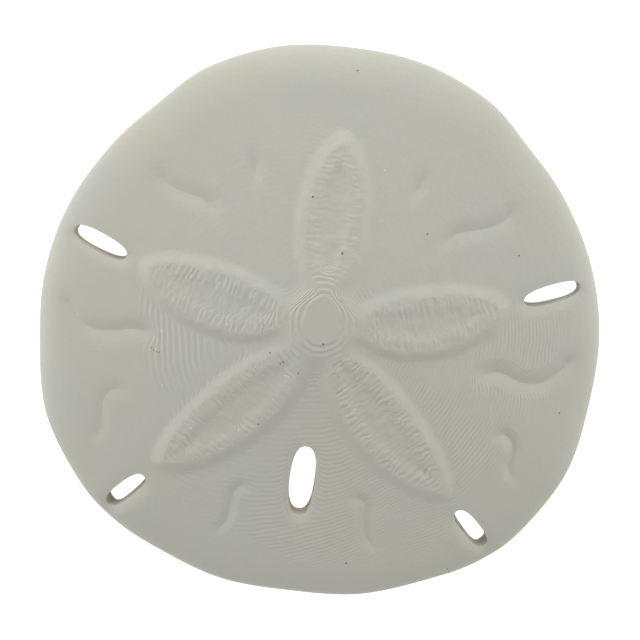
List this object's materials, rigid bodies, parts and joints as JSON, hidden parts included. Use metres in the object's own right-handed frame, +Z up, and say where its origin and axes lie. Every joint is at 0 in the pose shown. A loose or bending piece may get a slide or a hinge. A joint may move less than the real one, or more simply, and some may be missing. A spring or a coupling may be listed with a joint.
{
  "type": "printed plastic sand dollar",
  "caption": "Flat round sand dollar ornament in bone-white plastic: a low dome with a raised petal star, shallow ripples, slots right through and a flat underside.",
  "frame": {"origin": "on the flat underside, straight below the middle of the petal star", "axes": "+Z up, out of the domed side; +Y from the middle of the star towards the tip of the single front petal, along the mirror plane; +X to the right"},
  "size_m": [0.0807, 0.0801, 0.0084],
  "materials": {
    "bone_plastic": "satin, with fine print lines that follow the height"
  },
  "bodies": {
    "root": {"sand_dollar": "bone_plastic"}
  },
  "joints": []
}
